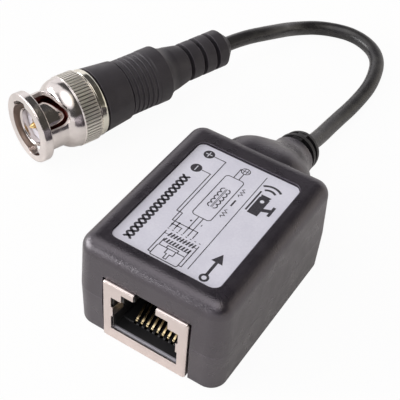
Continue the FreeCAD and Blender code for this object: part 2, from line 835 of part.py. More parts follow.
def jack_housing():
    """The moulded insert: stepped port with a chamfered sill, and a comb with a pit for each contact."""
    inset = s.shield_sheet + s.shield_gap
    half = s.jack_width / 2 - inset
    base = block("insert_block", (-half, half), (insert_front, jack_rear - inset),
                 (s.jack_low + inset, jack_top - inset))
    floor = s.port_low + s.shield_gap / 2
    port = profile_with_port("insert_port", floor, s.port_clearance, jack_front - s.wall,
                             jack_front + s.port_depth)
    latch = block("insert_latch", (-s.latch_width / 2 + s.shield_gap, s.latch_width / 2 - s.shield_gap),
                  (-FAR, jack_front + s.port_depth - s.wall), (s.port_high, FAR))
    sill_edge = s.sill_chamfer + s.wall
    sill_corners = [(insert_front - s.wall, floor - sill_edge), (insert_front + sill_edge, floor + s.wall),
                    (insert_front - s.wall, floor + s.wall)]
    sill = across("insert_sill", sill_corners, s.port_width - s.port_clearance * 2)
    tools = [port, latch, sill]
    finger_room = s.finger_height / 2 + s.finger_clearance
    for side, sign in (("left", -1), ("right", 1)):
        limits = mirrored(sign, as_size(0.0), s.port_width / 2 + s.shield_sheet)
        tools.append(block("finger_room_" + side, limits, (-FAR, jack_front + s.finger_length + s.wall / 2),
                           (s.finger_middle - finger_room, s.finger_middle + finger_room)))
    opened = cut("insert_opened", base, tools)
    comb_front = jack_front + s.comb_front
    comb_rear = jack_front + s.port_depth
    comb_top = floor + s.comb_height
    comb_corners = [(comb_front, s.pit_floor), (comb_rear, s.pit_floor), (comb_rear, comb_top),
                    (comb_front + s.comb_chamfer, comb_top), (comb_front, comb_top - s.comb_chamfer)]
    comb = across("insert_comb", comb_corners, s.comb_width)
    pits = []
    for index in range(SIZES["contact_count"]):
        limits = (contact_x(index) - s.contact_slot / 2, contact_x(index) + s.contact_slot / 2)
        pits.append(block("pit_{}".format(index + 1), limits, (comb_front, FAR),
                          (s.pit_floor, s.port_low + s.wall / 2)))
        pits.append(block("leg_slot_{}".format(index + 1), limits, (jack_rear - s.wall, FAR),
                          (s.pit_floor, FAR)))
    node("jack_housing", cut("jack_housing", fuse("insert_with_comb", [opened, comb]), pits))


def contacts():
    """Spring wires: up through the board, along the floor, round a front bend and up towards the rear."""
    leg = leg_y.number
    floor_z = s.contact_floor.number
    bend = s.contact_bend.number
    bend_middle_y = jack_front.number + s.contact_front.number + bend / 3
    tip_y = jack_front.number + s.contact_tip_reach.number
    leg_top = board_top.number + s.wall.number / 2
    for index in range(SIZES["contact_count"]):
        wire = doc.addObject("Part::Feature", "jack_contact_{}".format(index + 1))
        centre = Vector(0, bend_middle_y, floor_z + bend)
        tip = Vector(0, tip_y, s.contact_tip_height.number)
        touch = tangent_point(centre, tip, bend)
        front = Vector(0, bend_middle_y - bend, floor_z + bend)
        corner = Vector(0, leg - bend, floor_z)
        path = Part.Wire([
            Part.LineSegment(Vector(0, leg, leg_top), Vector(0, leg, floor_z + bend)).toShape(),
            Part.Arc(Vector(0, leg, floor_z + bend),
                     Vector(0, leg - bend * (1 - math.sqrt(0.5)), floor_z + bend * (1 - math.sqrt(0.5))),
                     corner).toShape(),
            Part.LineSegment(corner, Vector(0, bend_middle_y, floor_z)).toShape(),
            Part.Arc(Vector(0, bend_middle_y, floor_z), front, touch).toShape(),
            Part.LineSegment(touch, tip).toShape(),
        ])
        half_w, half_t = s.contact_width.number / 2, s.contact_thickness.number / 2
        ring = ((-half_w, -half_t), (half_w, -half_t), (half_w, half_t), (-half_w, half_t), (-half_w, -half_t))
        section = Part.makePolygon([Vector(x, leg + y, leg_top) for x, y in ring])
        wire.Shape = path.makePipeShell([section], True, False)
        wire.Placement = Placement(Vector(contact_x(index).number, 0, 0), Rotation())
        node(wire.Name, wire)


def tangent_point(centre, outside, radius):
    """Where a straight run from an outside point touches the front bend's upper side."""
    gap = outside - centre
    tilt = math.atan2(gap.z, gap.y) + math.acos(radius / gap.Length)
    return centre + Vector(0, radius * math.cos(tilt), radius * math.sin(tilt))


def circuit_board():
    body = new_body("board_blank")
    plan = rounded(body, "board_plan", "XY_Plane", board_half_width, board_half_length, s.board_corner,
                   lift=board_low)
    pad(body, plan, s.board_thickness)
    holes = []
    for x_sign in (-1, 1):
        for y in (boss_front_y, boss_rear_y):
            holes.append(rod("board_boss_hole", s.boss_pin_radius + s.pin_clearance, s.wall * 3,
                             boss_x * x_sign, y, board_low - s.wall))
        tab_front = jack_front + s.jack_depth / 2
        limits = mirrored(x_sign, s.jack_width / 2 - s.shield_sheet - s.pin_clearance,
                          s.jack_width / 2 + s.pin_clearance)
        holes.append(block("board_tab_slot", limits,
                           (tab_front - s.pin_clearance, tab_front + s.shield_tab + s.pin_clearance),
                           (board_low - s.wall, board_top + s.wall)))
    for index in range(SIZES["contact_count"]):
        holes.append(rod("board_leg_hole", s.lead_hole_radius, s.wall * 3, contact_x(index), leg_y,
                         board_low - s.wall))
    node("circuit_board", cut("circuit_board", body, holes))


def transformer():
    """A ferrite ring under the board with two wires wound through it."""
    low = board_low - s.winding_lead - s.core_height
    body = new_body("transformer_core")
    edge = s.core_edge
    corners = [(s.core_bore + edge, low), (s.core_radius - edge, low), (s.core_radius, low + edge),
               (s.core_radius, low + s.core_height - edge), (s.core_radius - edge, low + s.core_height),
               (s.core_bore + edge, low + s.core_height), (s.core_bore, low + s.core_height - edge),
               (s.core_bore, low + edge)]
    outline = draw(body, "core_section", "XZ_Plane", corners)
    revolve(body, outline)
    at(body, core_x, core_y)
    node("transformer_core", body)
    for name, start in (("winding_line", -0.5 * SIZES["winding_turns"] * SIZES["winding_pitch"]),
                        ("winding_coax", 180 - 0.5 * SIZES["winding_turns"] * SIZES["winding_pitch"])):
        winding(name, start, low.number)


def winding(name, start, low):
    """One wire: four straight runs round the ring's section for each turn, and two ends up to the board."""
    away = s.winding_gap.number + s.wire.number / 2
    inner = s.core_bore.number - away
    outer = s.core_radius.number + away
    bottom = low - away
    top = low + s.core_height.number + away
    pitch = math.radians(s.winding_pitch.number)
    first = math.radians(start)

    def point(radius, angle, height):
        reach = Vector(radius * math.cos(angle), radius * math.sin(angle), height)
        return Vector(core_x.number, core_y.number, 0) + reach

    turns = int(SIZES["winding_turns"])
    points = [point(outer, first, board_low.number)]
    for turn in range(turns):
        angle = first + turn * pitch
        points.append(point(outer, angle, bottom))
        points.append(point(inner, angle + pitch * 0.25, bottom))
        points.append(point(inner, angle + pitch * 0.25, top))
        points.append(point(outer, angle + pitch, top))
    last = first + turns * pitch
    points[-1] = point(outer, last, top)
    points.append(point(outer, last, bottom + away))
    wire = doc.addObject("Part::Feature", name)
    half = s.wire.number / 2
    path = Part.makePolygon(points)
    along = Vector(math.cos(first), math.sin(first), 0) * half
    across = Vector(-math.sin(first), math.cos(first), 0) * half
    start_point = points[0]
    ring = [start_point + along + across, start_point - along + across, start_point - along - across,
            start_point + along - across, start_point + along + across]
    wire.Shape = path.makePipeShell([Part.makePolygon(ring)], True, False, 1)
    node(name, wire)


def board_parts():
    body = new_body("surge_suppressor")
    half_u, half_v = s.suppressor_width / 2, s.suppressor_length / 2
    plan = rounded(body, "suppressor_plan", "XY_Plane", half_u, half_v, s.suppressor_corner, lift=board_low)
    pad(body, plan, s.suppressor_height, reverse=True, taper=-s.suppressor_draft)
    at(body, board_half_width - s.suppressor_side_inset, board_half_length - s.suppressor_rear_inset)
    node("surge_suppressor", body)

    can = new_body("capacitor")
    low = board_low - s.capacitor_length
    corners = [(0.0, low), (s.capacitor_radius - s.capacitor_edge, low),
               (s.capacitor_radius, low + s.capacitor_edge), (s.capacitor_radius, board_low), (0.0, board_low)]
    outline = draw(can, "capacitor_section", "XZ_Plane", corners, {1: s.capacitor_edge})
    revolve(can, outline)
    at(can, board_half_width - s.capacitor_side_inset, board_half_length - s.capacitor_rear_inset)
    node("capacitor", can)


def rounded_path(points):
    """Straight runs joined by tangent arcs. Returns the wire and its arcs' radii."""
    points = [Vector(*point) for point in points]
    runs = [(after - before).Length for before, after in zip(points, points[1:])]
    edges = []
    radii = []
    last = points[0]
    for index in range(1, len(points) - 1):
        into = (points[index] - points[index - 1]).normalize()
        out = (points[index + 1] - points[index]).normalize()
        turn = math.acos(max(-1.0, min(1.0, into.dot(out))))
        reach = 0.45 * min(runs[index - 1], runs[index])
        radii.append(reach / math.tan(turn / 2))
        start = points[index] - into * reach
        stop = points[index] + out * reach
        inward = (out - into).normalize()
        middle = points[index] + inward * (radii[-1] / math.cos(turn / 2) - radii[-1])
        edges.append(Part.LineSegment(last, start).toShape())
        edges.append(Part.Arc(start, middle, stop).toShape())
        last = stop
    edges.append(Part.LineSegment(last, points[-1]).toShape())
    return Part.Wire(edges), radii


def tube(name, points, radius):
    path, radii = rounded_path(points)
    start = Vector(*points[0])
    heading = (Vector(*points[1]) - start).normalize()
    section = Part.Wire([Part.makeCircle(radius, start, heading)])
    item = doc.addObject("Part::Feature", name)
    item.Shape = path.makePipeShell([section], True, False)
    expected = math.pi * radius * radius * path.Length
    print("{}: length {:.1f} mm, volume {:.1f} mm3 against {:.1f}, radii {}".format(
        name, path.Length, item.Shape.Volume, expected, [round(value, 1) for value in radii]))
    return node(name, item)


def inner_leads():
    """The coaxial lead's centre wire and braid, from the sleeve's flange up to the board."""
    start_y = (neck_end - s.neck_end_wall - s.relief_flange_length).number
    board_y = (board_half_length - s.inner_lead_inset).number
    spread = s.inner_lead_spread.number
    low = s.parting_height.number
    rise = s.inner_lead_rise.number
    for name, sign in (("centre_lead", 1), ("braid_lead", -1)):
        points = [
            (sign * spread, start_y, low),
            (sign * spread, start_y - s.inner_lead_straight.number, low),
            (sign * spread * 2, half_length.number, low + rise),
            (sign * spread * 2, board_y, low + rise * 2),
            (sign * spread * 2, board_y, board_low.number),
        ]
        tube(name, points, s.inner_lead_radius.number)


def plug_place():
    return Placement(Vector(s.plug_x.number, s.plug_y.number, s.plug_z.number),
                     Rotation(Vector(0, 0, 1), -s.plug_turn.number))


def in_plug(item):
    """Move a finished piece from the plug's own frame to where the plug lies."""
    item.Placement = plug_place()
    for axis, size in zip("xyz", (s.plug_x, s.plug_y, s.plug_z)):
        item.setExpression("Placement.Base." + axis, size.text)
    return item


def turned(name, corners, arcs=None):
    """A piece turned about the plug's axis, from (radius, station) corners."""
    body = new_body(name)
    revolve(body, draw(body, name + "_profile", "XY_Plane", corners, arcs))
    return body


def washer_start():
    return s.flange_start + s.flange_length + s.insulator_gap


def washer_end():
    return washer_start() + s.washer_thickness + s.washer_wave


def coupling_nut():
    """Bayonet nut: front ring with two entry notches, barrel with two cam windows, flare, knurl and hub."""
    edge = s.nut_ring_edge
    hub = s.body_neck_radius + s.nut_running_gap
    hub_start = washer_end() + s.nut_end_play
    corners = [
        (s.nut_bore_radius, 0.0),
        (s.nut_ring_radius - edge, 0.0),
        (s.nut_ring_radius, edge),
        (s.nut_ring_radius, s.nut_ring_length - edge),
        (s.nut_ring_radius - edge, s.nut_ring_length),
        (s.nut_barrel_radius, s.nut_ring_length),
        (s.nut_barrel_radius, s.nut_flare_start),
        (s.nut_flare_radius, s.nut_flare_end),
        (s.nut_flare_radius, s.knurl_start - s.nut_groove),
        (s.knurl_radius, s.knurl_start),
        (s.knurl_radius, s.knurl_end),
        (s.nut_rear_radius - s.nut_groove, s.knurl_end + s.nut_groove),
        (s.nut_rear_radius, s.knurl_end + s.nut_groove * 2),
        (s.nut_rear_radius, s.nut_length - s.nut_rear_edge),
        (s.nut_rear_radius - s.nut_rear_edge, s.nut_length),
        (hub, s.nut_length),
        (hub, hub_start),
        (s.nut_bore_radius, hub_start),
    ]
    arcs = {1: edge, 3: edge, 6: s.nut_flare_curve, 13: s.nut_rear_edge}
    blank = turned("nut_blank", corners, arcs)
    tools = [knurl_grooves()]
    for number, half_turn in enumerate((0.0, 180.0), start=1):
        for part, outline in window_parts().items():
            tools.append(radial_cutter("nut_{}_{}".format(part, number), outline, half_turn))
        slab = block("notch_slab_{}".format(number), (-s.notch_width / 2, s.notch_width / 2),
                     (-s.wall, s.nut_ring_length), (0.0, s.nut_barrel_radius * 2))
        disc = rod("notch_disc_{}".format(number), s.notch_radius, s.nut_length, 0.0, -s.wall, 0.0, "y")
        notch = common("nut_notch_{}".format(number), slab, disc)
        notch.Placement = facing_angle(s.notch_angle.number + half_turn)
        tools.append(notch)
    node("coupling_nut", in_plug(cut("coupling_nut", blank, tools)))


def window_parts():
    """The cam window in two parts: the round detent at its deep end, and the cam that slopes down from it.

    Each part is a ring of edges. Each edge is a curve pulled by its (angle, station) points.
    """
    ring = s.nut_ring_length.number
    low = s.window_low_angle.number
    high = s.window_high_angle.number
    slope_angle = s.window_slope_angle.number
    low_corner = (low, s.window_side_end.number)
    nose = (s.window_nose_angle.number, s.window_nose_pull.number)
    slope = (slope_angle, s.window_slope_start.number)
    end = (s.window_end_angle.number, s.window_end_start.number)
    high_corner = (high, s.window_high_end.number)
    foot = (s.window_foot_angle.number, ring)
    return {
        "detent": [
            [(low, ring), low_corner],
            [low_corner, (low, s.window_side_pull.number), nose, slope],
            [slope, (slope_angle, ring)],
            [(slope_angle, ring), (low, ring)],
        ],
        "cam": [
            [(slope_angle, ring), slope],
            [slope, (s.window_cam_angle.number, s.window_cam_pull.number), end],
            [end, (high, s.window_end_start.number), high_corner],
            [high_corner, foot],
            [foot, (slope_angle, ring)],
        ],
    }


def facing_angle(angle):
    """Turns a tool drawn above the plug's axis so that it faces an angle counted from its side towards +Z."""
    return Placement(Vector(), Rotation(Vector(0, 1, 0), 90 - angle))


def radial_cutter(name, outline, half_turn):
    """A cutter whose walls run straight to the plug's axis."""
    angles = [angle for edge in outline for angle, station in edge]
    facing = (min(angles) + max(angles)) / 2

    def wire(height):
        edges = []
        for pulls in outline:
            curve = Part.BezierCurve()
            curve.setPoles([Vector(height * math.tan(math.radians(facing - angle)), station, height)
                            for angle, station in pulls])
            edges.append(curve.toShape())
        return Part.Wire(edges)

    item = doc.addObject("Part::Feature", name)
    low, high = s.nut_bore_radius.number / 2, s.window_cutter_top.number
    item.Shape = Part.makeLoft([wire(low), wire(high)], True, True)
    item.Placement = facing_angle(facing + half_turn)
    return item


# where a tooth's groove and its crest's two edges lie, as shares of the pitch
KNURL_SHARES = (0.0, 0.3, 0.7)
# how far a tooth's crest passes the rim
KNURL_OVERCUT = 0.01


def knurl_grooves():
    """What the knurling tool takes away: a ring less a star with one flat-topped tooth for each groove."""
    teeth = int(SIZES["knurl_teeth"])
    crest = s.knurl_radius.number + KNURL_OVERCUT
    root = s.knurl_radius.number - s.knurl_depth.number
    step = 2 * math.pi / teeth
    corners = []
    for tooth in range(teeth):
        for share, radius in zip(KNURL_SHARES, (root, crest, crest)):
            angle = (tooth + share) * step
            corners.append(Vector(radius * math.cos(angle), s.knurl_start.number, radius * math.sin(angle)))
    corners.append(corners[0])
    length = Vector(0, s.knurl_end.number - s.knurl_start.number, 0)
    star = Part.Face(Part.makePolygon(corners)).extrude(length)
    ring = Part.makeCylinder(s.knurl_radius.number + s.wall.number, length.y,
                             Vector(0, s.knurl_start.number, 0), Vector(0, 1, 0))
    grooves = doc.addObject("Part::Feature", "knurl_grooves")
    grooves.Shape = ring.cut(star)
    return grooves


def plug_body():
    """Turned body: the flange that the nut pulls on, its neck, the retaining groove and the crimp tail."""
    flange = s.nut_bore_radius - s.flange_gap
    flange_end = s.flange_start + s.flange_length
    groove_start = s.nut_length + s.ring_gap
    groove_end = groove_start + s.ring_thickness
    bore = s.body_bore
    corners = [
        (bore, s.flange_start),
        (flange, s.flange_start),
        (flange, flange_end),
        (s.body_neck_radius, flange_end),
        (s.body_neck_radius, groove_start),
        (s.ring_seat, groove_start),
        (s.ring_seat, groove_end),
        (s.body_neck_radius, groove_end),
        (s.body_neck_radius, s.body_tail_start),
        (s.body_tail_radius, s.body_tail_start),
        (s.body_tail_radius, s.body_tail_end),
        (bore, s.body_tail_end),
    ]
    node("plug_body", in_plug(turned("plug_body", corners)))


def plug_insides():
    sleeve_lip = s.sleeve_radius - s.sleeve_bore
    corners = [(s.sleeve_bore, s.sleeve_front + sleeve_lip / 2),
               (s.sleeve_radius - sleeve_lip / 2, s.sleeve_front),
               (s.sleeve_radius, s.sleeve_front + sleeve_lip / 2), (s.sleeve_radius, s.flange_start),
               (s.sleeve_bore, s.flange_start)]
    node("outer_contact", in_plug(turned("outer_contact", corners)))

    outer = s.sleeve_bore - s.insulator_gap
    hole = s.pin_shank_radius + s.insulator_gap
    mouth_end = s.insulator_front + s.insulator_mouth_depth
    corners = [(s.insulator_mouth, s.insulator_front), (outer, s.insulator_front), (outer, s.flange_start),
               (hole, s.flange_start), (hole, mouth_end), (s.insulator_mouth, mouth_end)]
    node("dielectric", in_plug(turned("dielectric", corners)))

    corners = [(0.0, s.pin_front), (s.pin_nose_radius, s.pin_front), (s.pin_radius, s.pin_front + s.pin_tip),
               (s.pin_radius, mouth_end), (s.pin_shank_radius, mouth_end), (s.pin_shank_radius, s.pin_end),
               (0.0, s.pin_end)]
    node("centre_pin", in_plug(turned("centre_pin", corners, {1: s.pin_nose_curve})))

    inner = s.sleeve_radius + s.insulator_gap
    outer = s.nut_bore_radius - s.flange_gap
    edge = s.gasket_edge
    front = s.flange_start - s.gasket_length
    corners = [(inner, front), (outer - edge, front), (outer, front + edge), (outer, s.flange_start - edge),
               (outer - edge, s.flange_start), (inner, s.flange_start)]
    node("gasket", in_plug(turned("gasket", corners, {1: edge, 3: edge})))


def wave_washer():
    """A flat ring with waves that press the nut back from the flange."""
    low = washer_start()
    inner = s.body_neck_radius + s.washer_gap
    outer = s.nut_bore_radius - s.flange_gap
    body = new_body("washer_blank")
    top = low + s.washer_thickness
    corners = [(inner, low), (outer, low), (outer, top), (inner, top)]
    revolve(body, draw(body, "washer_profile", "XY_Plane", corners))
    pieces = [body]
    waves = int(SIZES["washer_waves"])
    for number in range(waves):
        crest = new_body("washer_crest_{}".format(number + 1))
        corners = [(inner, low), (outer, low), (outer, washer_end()), (inner, washer_end())]
        outline = draw(crest, "crest_profile_{}".format(number + 1), "XY_Plane", corners)
        made = crest.newObject("PartDesign::Revolution", "crest_{}".format(number + 1))
        made.Profile = outline
        made.ReferenceAxis = (outline, ["V_Axis"])
        bind(made, "Angle", s.washer_crest)
        crest.Tip = made
        crest.Placement = Placement(Vector(), Rotation(Vector(0, 1, 0), number * 360.0 / waves))
        pieces.append(crest)
    node("wave_washer", in_plug(fuse("wave_washer", pieces)))


def retaining_ring():
    """A split ring in the body's groove behind the nut."""
    low = s.nut_length + s.ring_gap
    inner = s.ring_seat + s.insulator_gap
    corners = [(inner, low), (s.ring_radius, low), (s.ring_radius, low + s.ring_thickness),
               (inner, low + s.ring_thickness)]
    ring = turned("ring_blank", corners)
    slit = block("ring_slit", (-s.ring_slit / 2, s.ring_slit / 2), (low - s.wall, low + s.wall), (0.0, FAR))
    node("retaining_ring", in_plug(cut("retaining_ring", ring, [slit])))


def crimp_ferrule():
    start = s.body_tail_start + s.boot_clearance
    inner = s.body_tail_radius + s.insulator_gap
    corners = [(inner, start), (s.ferrule_radius, start), (s.ferrule_radius, start + s.ferrule_length),
               (inner, start + s.ferrule_length)]
    node("crimp_ferrule", in_plug(turned("crimp_ferrule", corners)))


# where a fine ridge's valley begins and ends and its crest begins, as shares of the pitch
RIDGE_SHARES = (0.12, 0.38, 0.5)


def plug_boot():
    """Moulded boot: taper, fine ridges, collar, concave taper, three deep grooves and an end ring."""
    bottom, rise, crest = RIDGE_SHARES
    corners = [(s.boot_front_radius, s.boot_front), (s.boot_shoulder_radius, s.boot_ridge_start)]
    ridges = int(SIZES["boot_ridge_count"])
    pitch = (s.boot_ridge_end - s.boot_ridge_start) / ridges
    valley = s.boot_ridge_radius - s.boot_ridge_depth
    for ridge in range(ridges):
        start = s.boot_ridge_start + pitch * ridge
        corners += [(valley, start + pitch * bottom), (valley, start + pitch * rise),
                    (s.boot_ridge_radius, start + pitch * crest), (s.boot_ridge_radius, start + pitch)]
    corners += [(s.boot_collar_radius, s.boot_ridge_end + s.boot_ridge_depth),
                (s.boot_collar_radius, s.boot_collar_end)]
    arcs = {len(corners) - 1: -s.boot_taper_curve}
    corners += [(s.boot_taper_radius, s.boot_taper_end)]
    for groove in range(SIZES["boot_groove_count"]):
        start = s.boot_groove_first + s.boot_groove_pitch * groove - s.boot_groove_width / 2
        corners += [(s.boot_rib_radius, start), (s.boot_groove_radius, start),
                    (s.boot_groove_radius, start + s.boot_groove_width),
                    (s.boot_rib_radius, start + s.boot_groove_width)]
    corners += [(s.boot_rib_radius, s.boot_end_ring), (s.boot_tail_radius, s.boot_end), (0.0, s.boot_end)]
    tail_end = s.body_tail_end + s.boot_clearance * 2
    ferrule = s.ferrule_radius + s.boot_clearance
    neck = s.body_neck_radius + s.boot_clearance
    ring = s.ring_radius + s.boot_clearance
    ring_end = s.nut_length + s.ring_gap + s.ring_thickness + s.boot_clearance
    corners += [(0.0, tail_end), (ferrule, tail_end), (ferrule, s.body_tail_start + s.boot_clearance),
                (neck, s.body_tail_start + s.boot_clearance), (neck, ring_end), (ring, ring_end),
                (ring, s.boot_front)]
    node("plug_boot", in_plug(turned("plug_boot", corners, arcs)))


housing(housing_outside(), housing_inside())
label()
strain_relief()
jack_shield()
jack_housing()
contacts()
circuit_board()
transformer()
board_parts()
inner_leads()
tube("cable", CABLE_ROUTE, s.cable_radius.number)
coupling_nut()
plug_body()
plug_insides()
wave_washer()
retaining_ring()
crimp_ferrule()
plug_boot()

doc.recompute()
faulty = [item.Name for item in doc.Objects if "Invalid" in item.State or "Error" in item.State]
if faulty:
    raise RuntimeError("objects that failed: {}".format(faulty))
for item in nodes:
    if item.Shape.isNull() or not item.Shape.isValid():
        raise RuntimeError("{} has no valid shape".format(item.Label))

os.makedirs("parts", exist_ok=True)
for item in nodes:
    item.Shape.exportStep("parts/{}.step".format(item.Label))
    print("{}: {} solids, {:.1f} mm3".format(item.Label, len(item.Shape.Solids), item.Shape.Volume))
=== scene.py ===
"""Looks of a small video balun: a black box with a modular jack, a short coaxial lead and a bayonet plug."""
import math

import bmesh
import bpy
from mathutils import Matrix, Vector


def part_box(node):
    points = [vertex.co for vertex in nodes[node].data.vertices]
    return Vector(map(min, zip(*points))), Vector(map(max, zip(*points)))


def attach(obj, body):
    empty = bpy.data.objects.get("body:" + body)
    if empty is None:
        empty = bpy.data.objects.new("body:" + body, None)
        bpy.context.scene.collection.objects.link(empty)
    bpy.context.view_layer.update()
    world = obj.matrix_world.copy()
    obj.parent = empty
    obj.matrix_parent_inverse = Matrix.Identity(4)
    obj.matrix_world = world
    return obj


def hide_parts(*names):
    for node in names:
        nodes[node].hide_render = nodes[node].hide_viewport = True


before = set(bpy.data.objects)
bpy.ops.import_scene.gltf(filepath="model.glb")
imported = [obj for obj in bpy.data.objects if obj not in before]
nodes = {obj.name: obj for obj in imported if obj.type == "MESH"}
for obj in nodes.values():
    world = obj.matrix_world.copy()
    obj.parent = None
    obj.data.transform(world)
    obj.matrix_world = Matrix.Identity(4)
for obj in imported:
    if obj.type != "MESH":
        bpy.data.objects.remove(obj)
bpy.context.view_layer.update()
MM = 0.001

# The lead's route, in millimetres, from the strain relief to the plug's boot
CABLE_ROUTE = (
    (0.0, 34.838, 6.885),
    (0.0, 40.745, 4.735),
    (-0.45, 50.88, 2.41),
    (0.05, 59.86, 1.61),
    (-0.09, 69.06, 1.61),
    (-3.11, 78.75, 1.61),
    (-10.63, 83.0, 1.61),
    (-18.6, 81.0, 1.61),
    (-23.4, 75.0, 2.6),
    (-24.4, 66.6, 5.9),
    (-27.867, 58.566, 7.3),
    (-29.444, 54.088, 7.3),
)
CABLE_RADIUS = 1.6

# The plug's front centre and its axis
PLUG_FRONT = Vector((-45.72, 7.87, 7.3)) * MM
PLUG_TURN = math.radians(19.4)
PLUG_AXIS = Vector((math.sin(PLUG_TURN), math.cos(PLUG_TURN), 0.0))

# Bands of the coupling nut, in millimetres: stations behind its front face and distances from its axis
NUT_WALL, NUT_WALL_RADIUS = (1.9, 7.2), (5.0, 5.70)
NUT_WINDOWS = (2.6, 7.5)
NUT_KNURL, NUT_TOOTH_ROOT = (9.05, 12.65), (6.97, 7.155)
NUT_HUB = (12.9, 15.2)
NUT_BORE, NUT_BORE_REAR = (4.95, 5.02), (6.0, 8.0)

# Other bands that the materials follow, in millimetres
LABEL_HALF_SIZE = (10.0, 13.55)
LABEL_MIDDLE_Y = -0.6
LABEL_RIM = (0.16, 0.06)
PORT_LIP_Y, PORT_LIP_Z = (-17.68, -17.56), (2.2, 3.1)
CONTACT_SHADE_Y = (-15.2, -14.1)


# Materials

class Nodes:
    """Short calls for the nodes of one tree."""

    def __init__(self, tree, place="Object"):
        self.tree = tree
        self.tree.nodes.clear()
        self.place = self.add("TexCoord").outputs[place]

    def add(self, kind):
        return self.tree.nodes.new("ShaderNode" + kind)

    def feed(self, socket, value):
        """A link or a constant into a socket."""
        if isinstance(value, bpy.types.NodeSocket):
            self.tree.links.new(value, socket)
        else:
            socket.default_value = value

    def axes(self):
        """The three coordinates, by axis."""
        split = self.add("SeparateXYZ")
        self.feed(split.inputs[0], self.place)
        return split.outputs

    def stretched(self, scale, turn=0.0):
        """Coordinates squeezed along the axes, turned about the vertical first."""
        spin = self.add("Mapping")
        spin.vector_type = "TEXTURE"
        spin.inputs["Rotation"].default_value = (0.0, 0.0, turn)
        self.feed(spin.inputs["Vector"], self.place)
        squeeze = self.add("Mapping")
        squeeze.inputs["Scale"].default_value = scale
        self.feed(squeeze.inputs["Vector"], spin.outputs[0])
        return squeeze.outputs[0]

    def noise(self, size, detail=2.0, vector=None, distortion=0.0):
        """Smooth noise from 0 to 1 whose features are about size millimetres."""
        made = self.add("TexNoise")
        made.inputs["Scale"].default_value = 1.0 / (size * MM)
        made.inputs["Detail"].default_value = detail
        made.inputs["Distortion"].default_value = distortion
        self.feed(made.inputs["Vector"], vector or self.place)
        return made.outputs["Fac"]

    def math(self, operation, *values):
        made = self.add("Math")
        made.operation = operation
        for socket, value in zip(made.inputs, values):
            self.feed(socket, value)
        return made.outputs[0]

    def times(self, first, second):
        return self.math("MULTIPLY", first, second)

    def plus(self, first, second):
        return self.math("ADD", first, second)

    def most(self, first, second):
        return self.math("MAXIMUM", first, second)

    def span(self, value, low, high, out_low=0.0, out_high=1.0):
        """Value from low to high, mapped smoothly to out_low to out_high and clamped."""
        made = self.add("MapRange")
        made.interpolation_type = "SMOOTHSTEP"
        for name, number in (("From Min", low), ("From Max", high), ("To Min", out_low), ("To Max", out_high)):
            made.inputs[name].default_value = number
        self.feed(made.inputs["Value"], value)
        return made.outputs[0]

    def within(self, value, low, high, soft=0.05):
        """1 where a value lies between two limits, with soft ends."""
        above = self.span(value, low - soft, low + soft)
        return self.times(above, self.span(value, high - soft, high + soft, 1.0, 0.0))

    def blend(self, factor, first, second):
        """A colour between two colours."""
        made = self.add("Mix")
        made.data_type = "RGBA"
        self.feed(made.inputs["Factor"], factor)
        sockets = [s for s in made.inputs if s.type == "RGBA"]
        for socket, value in zip(sockets, (first, second)):
            self.feed(socket, (*value, 1.0) if isinstance(value, tuple) else value)
        return [s for s in made.outputs if s.type == "RGBA"][0]

    def vector(self, operation, first, second, result="Value"):
        made = self.add("VectorMath")
        made.operation = operation
        for socket, value in zip(made.inputs, (first, second)):
            self.feed(socket, value)
        return made.outputs[result]

    def shade(self, output, factor, first, second):
        """Two shaders, mixed into the tree's output."""
        mixed = self.add("MixShader")
        for socket, value in zip(mixed.inputs, (factor, first.outputs[0], second.outputs[0])):
            self.feed(socket, value)
        self.feed(self.add(output).inputs[0], mixed.outputs[0])


class Material(Nodes):
    """One procedural material. Its plain colour and roughness stand where no texture drives them."""

    def __init__(self, name, color, rough, metallic=0.0):
        self.made = bpy.data.materials.new(name)
        self.made.use_nodes = True
        super().__init__(self.made.node_tree)
        self.shader = self.add("BsdfPrincipled")
        self.feed(self.add("OutputMaterial").inputs[0], self.shader.outputs[0])
        self.set(base_color=(*color, 1.0), roughness=rough, metallic=metallic)

    def set(self, **values):
        for name, value in values.items():
            self.feed(self.shader.inputs[name.replace("_", " ").title().replace("Ior", "IOR")], value)

    def tint(self, factor, dark, light):
        """The colour, from dark to light."""
        self.set(base_color=self.blend(factor, dark, light))

    def over(self, factor, value):
        """A colour laid over the one that the material has."""
        self.tint(factor, self.shader.inputs["Base Color"].links[0].from_socket, value)

    def along(self, axis):
        """One coordinate, in millimetres."""
        return self.math("DIVIDE", self.axes()[axis], MM)

    def on_plug(self):
        """Station along the plug's axis and distance from it, in millimetres."""
        away = self.vector("SUBTRACT", self.place, PLUG_FRONT, "Vector")
        along = self.vector("DOT_PRODUCT", away, PLUG_AXIS)
        foot = self.add("VectorMath")
        foot.operation = "SCALE"
        foot.inputs[0].default_value = PLUG_AXIS
        self.feed(foot.inputs["Scale"], along)
        radius = self.vector("DISTANCE", away, foot.outputs[0])
        return self.math("DIVIDE", along, MM), self.math("DIVIDE", radius, MM)

    def rounded(self, radius):
        """The normal with edges rounded by a radius in millimetres."""
        made = self.add("Bevel")
        made.samples = 6
        made.inputs["Radius"].default_value = radius * MM
        return made.outputs[0]

    def edges(self, radius):
        """0 on the flats and up to 1 on the edges, by the cosine between the rounded and the true normal."""
        true = self.add("NewGeometry").outputs["Normal"]
        return self.span(self.vector("DOT_PRODUCT", self.rounded(radius), true), 0.995, 0.85)

    def bump(self, height, depth, soften=0.0):
        """Height from 0 to 1 as relief of depth millimetres, over edges rounded by soften millimetres."""
        made = self.add("Bump")
        made.inputs["Strength"].default_value = 1.0
        made.inputs["Distance"].default_value = depth * MM
        self.feed(made.inputs["Height"], height)
        if soften:
            self.feed(made.inputs["Normal"], self.rounded(soften))
        self.set(normal=made.outputs[0])


